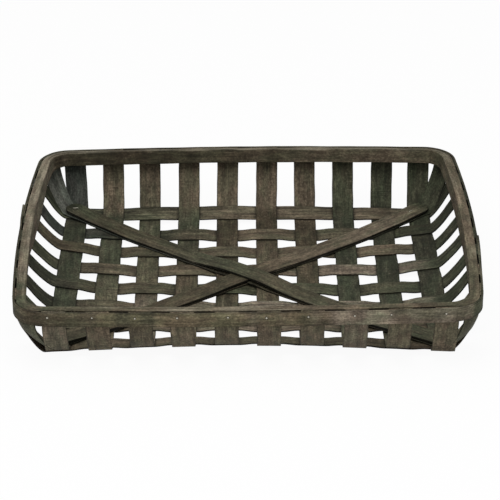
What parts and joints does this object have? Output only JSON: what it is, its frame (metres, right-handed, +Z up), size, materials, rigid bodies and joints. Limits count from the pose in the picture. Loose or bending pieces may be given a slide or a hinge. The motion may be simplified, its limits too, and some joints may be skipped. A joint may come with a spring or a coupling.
{
  "type": "tobacco basket",
  "caption": "Shallow rectangular tray of wide flat wooden splints woven over and under, with leaning walls, a nailed double rim and crossed diagonal braces on the base.",
  "frame": {"origin": "on the floor, under the middle of the base", "axes": "+Z up, +X to the right along the long side, -Y to the front"},
  "size_m": [0.7176, 0.5872, 0.102],
  "materials": {
    "stake_wood": "dark weathered grey-brown stain, rough sawn, matt",
    "row_wood": "dark weathered grey-brown stain, rough sawn, matt",
    "corner_wood": "dark grey stain, rough sawn, matt",
    "brace_wood": "dark grey-brown stain, sawn, matt",
    "rim_wood": "grey-brown stain, worn paler on its edges, matt",
    "hoop_wood": "dark grey-brown stain, long grain, satin to matt",
    "nail_steel": "bare steel nail heads, dulled"
  },
  "bodies": {
    "root": {"stake_1": "stake_wood", "stake_2": "stake_wood", "stake_3": "stake_wood", "stake_4": "stake_wood", "stake_5": "stake_wood", "stake_6": "stake_wood", "stake_7": "stake_wood", "stake_8": "stake_wood", "stake_9": "stake_wood", "stake_10": "stake_wood", "row_1": "row_wood", "row_2": "row_wood", "row_3": "row_wood", "row_4": "row_wood", "row_5": "row_wood", "row_6": "row_wood", "row_7": "row_wood", "row_8": "row_wood", "corner_splint_back_left": "corner_wood", "corner_splint_back_right": "corner_wood", "brace_back_left": "brace_wood", "brace_back_right": "brace_wood", "rim_bar": "rim_wood", "outer_hoop": "hoop_wood", "nail_front_1": "nail_steel", "nail_front_2": "nail_steel", "nail_front_3": "nail_steel", "nail_front_4": "nail_steel", "nail_front_5": "nail_steel", "nail_front_6": "nail_steel", "nail_front_7": "nail_steel", "nail_front_8": "nail_steel", "nail_front_9": "nail_steel", "nail_front_10": "nail_steel", "nail_back_1": "nail_steel", "nail_back_2": "nail_steel", "nail_back_3": "nail_steel", "nail_back_4": "nail_steel", "nail_back_5": "nail_steel", "nail_back_6": "nail_steel", "nail_back_7": "nail_steel", "nail_back_8": "nail_steel", "nail_back_9": "nail_steel", "nail_back_10": "nail_steel", "nail_left_1": "nail_steel", "nail_left_2": "nail_steel", "nail_left_3": "nail_steel", "nail_left_4": "nail_steel", "nail_left_5": "nail_steel", "nail_left_6": "nail_steel", "nail_left_7": "nail_steel", "nail_left_8": "nail_steel", "nail_right_1": "nail_steel", "nail_right_2": "nail_steel", "nail_right_3": "nail_steel", "nail_right_4": "nail_steel", "nail_right_5": "nail_steel", "nail_right_6": "nail_steel", "nail_right_7": "nail_steel", "nail_right_8": "nail_steel"}
  },
  "joints": []
}
